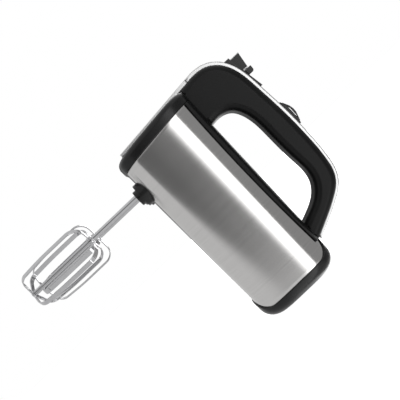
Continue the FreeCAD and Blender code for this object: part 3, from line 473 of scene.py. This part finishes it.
def makeSteelSleeve():
    form = {"openTurn": math.radians(27), "columns": 150, "rows": 60, "wall": 0.0007, "holeRadius": 0.0092,
            "holeSnap": 1.5, "belly": -0.03}

    def place(u, v):
        turn = form["openTurn"] + u * (2 * math.pi - 2 * form["openTurn"])
        back = windowEdge(bodyPoint(turn, bodyForm["sleeveBack"], 0).x)
        return bodyPoint(turn, back + v * (bodyForm["seam"] - back), 0)

    bm = bmesh.new()
    bentSheet(bm, form["columns"], form["rows"], place)
    centres = [Vector((side * bodyForm["spindleSide"], bodyForm["spindleStation"])) for side in (-1, 1)]

    def fromHole(point, reach):
        # the nearer hole's centre and the way from it, where the point is within reach of it
        flat = Vector((point.y, point.z))
        centre = min(centres, key=lambda centre: (flat - centre).length)
        near = point.x < form["belly"] and (flat - centre).length < reach
        return (centre, flat - centre) if near else None

    holes = [face for face in bm.faces if fromHole(face.calc_center_median(), form["holeRadius"])]
    bmesh.ops.delete(bm, geom=holes, context="FACES")
    for vert in bm.verts:
        found = vert.is_boundary and fromHole(vert.co, form["holeRadius"] * form["holeSnap"])
        if found:
            centre, way = found
            vert.co.yz = centre + way.normalized() * form["holeRadius"]
    axisPoint = Vector((0, 0, bodyForm["middle"]))
    turnOutwards(bm, lambda face: face.normal.dot(face.calc_center_median() - axisPoint))
    finishPiece(bm, "steel_sleeve", wall=form["wall"])


def makeFrontBezel():
    form = {"round": 0.006, "lip": 0.0006, "edgeSteps": 3, "sideSteps": 4, "roundSteps": 8,
            "frontInsets": (0.010, 0.018, 0.028, 0.036), "spineHalf": 0.0075, "spineHeights": (-0.036, 0.044),
            "spineSink": 0.001, "trimSlope": 0.094, "trimSink": 0.00006}
    edge = bodyForm["edge"]
    back = bodyForm["seam"] + bodyForm["gap"]
    front = bodyForm["length"]
    proud = bodyForm["proud"]
    stack = [(back, form["lip"])]
    for step in range(form["edgeSteps"] + 1):
        turn = math.pi / 2 * step / form["edgeSteps"]
        stack.append((back + edge * (1 - math.cos(turn)), edge * (1 - math.sin(turn)) - proud))
    for step in range(1, form["sideSteps"]):
        share = step / form["sideSteps"]
        stack.append((back + edge + share * (front - form["round"] - back - edge), -proud))
    for step in range(form["roundSteps"] + 1):
        turn = math.pi / 2 * step / form["roundSteps"]
        stack.append((front - form["round"] * (1 - math.sin(turn)),
                      form["round"] * (1 - math.cos(turn)) - proud))
    stack += [(front, inset) for inset in form["frontInsets"]]
    bm = bmesh.new()
    ringStack(bm, [lambda turn, pair=pair: pair for pair in stack])
    fillHoles(bm)
    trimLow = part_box("front_trim")[0]

    def trimBack(height):
        # station of the front strip's rear face
        return trimLow[2] - form["trimSink"] + form["trimSlope"] * (height - trimLow[0])

    low, high = form["spineHeights"]
    sink = front - form["spineSink"]
    prism(bm, [(low, sink + bodyForm["lean"] * low), (high, sink + bodyForm["lean"] * high),
               (high, trimBack(high)), (low, trimBack(low))], form["spineHalf"])
    finishPiece(bm, "front_bezel", sharpAngle=50)


def makeRearCap():
    form = {"round": 0.015, "roundSteps": 14, "edgeSteps": 3, "lips": (0.0012, 0.0024),
            "heelInsets": (0.036, 0.030, 0.024, 0.018),
            "glandHole": 0.00585, "glandRun": 0.012, "glandPast": 0.02,
            "screwHeight": -0.018, "screwSide": 0.0175, "screwHole": 0.0036, "screwDepth": 0.0012,
            "screwPast": 0.003}
    proud = bodyForm["proud"]
    edge = bodyForm["edge"]

    def skin(share):
        def ring(turn):
            height = bodyPoint(turn, bodyForm["sleeveBack"], -proud).x
            station = share * (windowEdge(height, bodyForm["gap"]) - edge)
            if station >= form["round"]:
                return station, -proud
            away = (form["round"] - station) / form["round"]
            return station, form["round"] * (1 - math.sqrt(max(1 - away * away, 0))) - proud
        return ring

    def rim(step):
        def ring(turn):
            angle = math.pi / 2 * step / form["edgeSteps"]
            station, inset = skin(1)(turn)
            return station + edge * math.sin(angle), inset + edge * (1 - math.cos(angle))
        return ring

    def lip(depth):
        def ring(turn):
            station, inset = rim(form["edgeSteps"])(turn)
            return station, inset + depth
        return ring

    steps = form["roundSteps"]
    rings = [lambda turn, inset=inset: (0.0, inset) for inset in form["heelInsets"]]
    rings += [skin(1 - math.cos(math.pi / 2 * step / steps)) for step in range(steps + 1)]
    rings += [rim(step + 1) for step in range(form["edgeSteps"])]
    rings += [lip(depth) for depth in form["lips"]]
    bm = bmesh.new()
    ringStack(bm, rings)
    fillHoles(bm)
    cap = finishPiece(bm, "rear_cap", sharpAngle=50)
    low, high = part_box("cord_gland")
    out = Vector((1, 0, -1)).normalized()
    # the gland leaves the cap's upper rear shoulder, through the middle of its own box
    middle = Vector(((low[0] + high[0]) / 2, 0, (low[2] + high[2]) / 2))
    bars = [(form["glandHole"], middle - out * form["glandRun"], middle + out * form["glandPast"])]
    for side in (-1, 1):
        across = side * form["screwSide"]
        bars.append((form["screwHole"], (form["screwHeight"], across, -form["screwPast"]),
                     (form["screwHeight"], across, form["screwDepth"])))
    carve(cap, bars)


def makeTopCover():
    form = {"back": 0.0263, "columns": 64, "rows": 60, "wall": 0.00115, "bevel": 0.0003,
            "lowerEdge": ((0.0243, 0.0406), (0.08815, 0.0374), (0.206, 0.0394))}
    proud = bodyForm["proud"]
    power = bodyForm["power"]

    def edgeHeight(station):
        # the lower edge is one long shallow arc through three points
        total = 0.0
        for index, (place, height) in enumerate(form["lowerEdge"]):
            weight = height
            for other, (otherPlace, otherHeight) in enumerate(form["lowerEdge"]):
                if other != index:
                    weight *= (station - otherPlace) / (place - otherPlace)
            total += weight
        return total

    def place(u, v):
        station = form["back"] + v * (bodyForm["seam"] - form["back"])
        halfHeight, halfWidth, centre = sectionAt(station)
        height = edgeHeight(station) - centre
        side = (halfWidth + proud) * (1 - (height / (halfHeight + proud)) ** power) ** (1 / power)
        limit = math.atan2(side, height)
        return bodyPoint((2 * u - 1) * limit, station, -proud)

    bm = bmesh.new()
    bentSheet(bm, form["columns"], form["rows"], place)
    turnOutwards(bm, lambda face: face.normal.x)
    finishPiece(bm, "top_cover", form["bevel"], segments=2, wall=form["wall"], sharpAngle=50)


def makeBeater(name, side, turn):
    form = {"top": -0.10816, "bottom": -0.18166, "reach": 0.024, "width": 0.0047, "thick": 0.0011,
            "shoulder": 0.012, "bend": 0.008, "heel": 0.007, "bendSteps": 9,
            "taper": 0.030, "heelRise": 0.0034, "heelReach": 0.0219, "bevel": 0.00025,
            "hub": 0.0042, "hubTop": 0.0015, "hubDrop": 0.0035, "hubTip": 0.0008,
            "shaft": 0.0025, "shaftTop": -0.008, "shaftEnd": 0.0006, "shaftTip": 0.0006,
            "lugs": (-0.035, -0.029), "lugHalf": 0.0035, "lugThick": 0.00065}
    centre = Vector((0, side * bodyForm["spindleSide"], bodyForm["spindleStation"]))
    top, bottom = form["top"], form["bottom"]

    # one strip: half a loop, rounded at its corners, widened, thickened and set round four times
    bm = bmesh.new()
    corners = [(top, 0.0), (top, form["reach"]), (bottom + form["taper"], form["reach"]),
               (bottom + form["heelRise"], form["heelReach"]), (bottom, 0.0)]
    points = [bm.verts.new((height, -form["width"] / 2, reach)) for height, reach in corners]
    for first, second in zip(points, points[1:]):
        bm.edges.new((first, second))
    for vert, offset in ((points[1], form["shoulder"]), (points[3], form["heel"]), (points[2], form["bend"])):
        bmesh.ops.bevel(bm, geom=[vert], offset=offset, affect="VERTICES", segments=form["bendSteps"],
                        profile=0.5, material=-1)
    made = bmesh.ops.extrude_edge_only(bm, edges=bm.edges[:])["geom"]
    bmesh.ops.translate(bm, verts=vertsIn(made), vec=(0, form["width"], 0))
    turnOutwards(bm, lambda face: face.normal.z * face.calc_area())
    bmesh.ops.solidify(bm, geom=bm.faces[:], thickness=form["thick"])
    bmesh.ops.recalc_face_normals(bm, faces=bm.faces)
    strip = bm.verts[:] + bm.edges[:] + bm.faces[:]
    for quarter in (1, 2, 3):
        copied = bmesh.ops.duplicate(bm, geom=strip)["geom"]
        bmesh.ops.rotate(bm, verts=vertsIn(copied), cent=(0, 0, 0),
                         matrix=Matrix.Rotation(math.pi / 2 * quarter, 3, "X"))
    bmesh.ops.rotate(bm, verts=bm.verts, cent=(0, 0, 0), matrix=Matrix.Rotation(math.radians(turn), 3, "X"))
    addBar(bm, form["hub"], (top - form["hubDrop"], 0, 0), (top + form["hubTop"], 0, 0), tip=form["hubTip"])
    bmesh.ops.translate(bm, verts=bm.verts, vec=centre)
    finishPiece(bm, "beater_cage_" + name, form["bevel"], segments=2)

    bm = bmesh.new()
    addBar(bm, form["shaft"], (form["shaftTop"], 0, 0), (bottom - form["shaftEnd"], 0, 0), segments=40,
           tip=form["shaftTip"])
    low, high = form["lugs"]
    lugs = bmesh.ops.create_cube(bm, size=1)["verts"]
    bmesh.ops.scale(bm, verts=lugs, vec=(high - low, 2 * form["lugThick"], 2 * form["lugHalf"]))
    bmesh.ops.translate(bm, verts=lugs, vec=((low + high) / 2, 0, 0))
    bmesh.ops.translate(bm, verts=bm.verts, vec=centre)
    finishPiece(bm, "beater_shaft_" + name)


makeSteelSleeve()
makeFrontBezel()
makeRearCap()
makeTopCover()
print("body made")

makeBeater("left", -1, 40)
makeBeater("right", 1, 15)
print("beaters made")

makeTrimStrip("handle_trim", (0.05, 0, 0.11))
makeTrimStrip("front_trim", (0, 0, 0.1))
softened = {
    "handle_left": 0, "handle_right": 0, "control_base": 0.0004, "speed_slider": 0.0005,
    "turbo_frame": 0.0005, "turbo_button": 0.0005, "turbo_inlay": 0.0002, "cord_gland": 0.0004,
    "drive_nose_left": 0.0006, "drive_nose_right": 0.0006,
}
for node, bevel in softened.items():
    refined(node, bevel)
makeEjectKey()
makeSpring("ejector_spring")
makeSpring("turbo_spring")
print("handle and controls made")

for name, piece in nodes.items():
    if not piece.hide_render:
        piece.data.materials.clear()
        piece.data.materials.append(finishes[slotOf[name]])


# studio
def makeWorld():
    light = {"camera": 1.0, "top": 0.34, "band": 2.4, "side": 0.155, "rearSide": 0.33, "low": 0.72,
             "wall": 0.8, "topFrom": 24.5, "topSoft": 0.8, "bandFrom": 6.2, "bandSoft": 3, "lowSoft": 3,
             "lowSlope": 138, "lowStart": 28.5, "lowMost": 31, "sideTurns": (-0.2, -0.03),
             "wallTurns": (0.3, 0.6), "degrees": 57.3}
    world = bpy.data.worlds.new("studio")
    bpy.context.scene.world = world
    studio = Finish(world)
    direction = studio.add("ShaderNodeTexCoord", output=0)
    split = studio.add("ShaderNodeSeparateXYZ", None, {0: direction})
    across = abs(split.output(1))
    along = split.output(2)
    # angle above the side of the body, towards the handle, in degrees
    rise = split.maths("ARCTAN2", split, across) * light["degrees"]
    # the light below the side starts lower towards the front
    edge = along.maths("MINIMUM", along * light["lowSlope"] + light["lowStart"], light["lowMost"])
    side = studio.add("ShaderNodeMapRange", None, {
        "Value": along, "From Min": light["sideTurns"][0], "From Max": light["sideTurns"][1],
        "To Min": light["rearSide"], "To Max": light["side"]})
    top = studio.step(rise, light["topFrom"] - light["topSoft"], light["topFrom"] + light["topSoft"])
    band = studio.step(rise, light["bandFrom"] - light["bandSoft"], light["bandFrom"] + light["bandSoft"])
    band = band * (1 - top)
    low = studio.step(rise + edge, -light["lowSoft"], light["lowSoft"])
    level = (side + (1 - low) * (light["low"] - side) + band * (light["band"] - side)
             + top * (light["top"] - side))
    # one even pale wall stands ahead of the nose
    wall = studio.step(along, *light["wallTurns"])
    level = level + wall * (light["wall"] - level)
    seen = studio.add("ShaderNodeLightPath", output=0)
    shown = seen * light["camera"] + (1 - seen) * level
    background = studio.add("ShaderNodeBackground", None, {"Color": (1, 1, 1, 1), "Strength": shown})
    studio.add("ShaderNodeOutputWorld", None, {"Surface": background})


def makeFloor():
    form = {"half": 3.0, "tones": (0.9, 0.95), "mottle": 0.02, "rough": 0.8, "glow": 1.0}
    pale = newFinish("paleFloor")
    dark, light = form["tones"]
    color = pale.ramp(pale.noise(3) * form["mottle"], [(0, grey(dark)), (1, grey(light))])
    pale.surface(Base_Color=color, Roughness=form["rough"], Emission_Color=(1, 1, 1, 1),
                 Emission_Strength=form["glow"])
    bm = bmesh.new()
    bmesh.ops.create_grid(bm, x_segments=1, y_segments=1, size=form["half"])
    mesh = bpy.data.meshes.new("floor")
    bm.to_mesh(mesh)
    bm.free()
    mesh.materials.append(pale.owner)
    floor = bpy.data.objects.new("floor", mesh)
    floor.visible_glossy = False
    bpy.context.scene.collection.objects.link(floor)


def makeOverheadLamp():
    form = {"place": (0.5, -0.5, 0.9), "target": (0, 0, 0.12), "size": 0.5, "power": 4}
    lamp = bpy.data.lights.new("overhead", "AREA")
    lamp.shape = "RECTANGLE"
    lamp.size = form["size"]
    lamp.size_y = form["size"]
    lamp.energy = form["power"]
    panel = bpy.data.objects.new("overhead", lamp)
    panel.location = form["place"]
    aim = Vector(form["target"]) - Vector(form["place"])
    panel.rotation_euler = aim.to_track_quat("-Z", "Y").to_euler()
    panel.visible_camera = False
    panel.visible_glossy = False
    bpy.context.scene.collection.objects.link(panel)


def makeCamera():
    view = {"place": (-0.011, -0.606, 0.1265), "roll": math.radians(43.5), "lens": 57.54, "sensor": 36,
            "clip": 0.01}
    lens = bpy.data.cameras.new("camera")
    lens.lens = view["lens"]
    lens.sensor_width = view["sensor"]
    lens.clip_start = view["clip"]
    camera = bpy.data.objects.new("camera", lens)
    right = Vector((math.cos(view["roll"]), 0, -math.sin(view["roll"])))
    up = Vector((math.sin(view["roll"]), 0, math.cos(view["roll"])))
    back = Vector((0, -1, 0))
    turn = Matrix((right, up, back)).transposed().to_4x4()
    camera.matrix_world = Matrix.Translation(view["place"]) @ turn
    bpy.context.scene.collection.objects.link(camera)
    bpy.context.scene.camera = camera


makeWorld()
makeFloor()
makeCamera()
makeOverheadLamp()
bpy.context.scene.view_settings.view_transform = "Standard"
print("studio made")
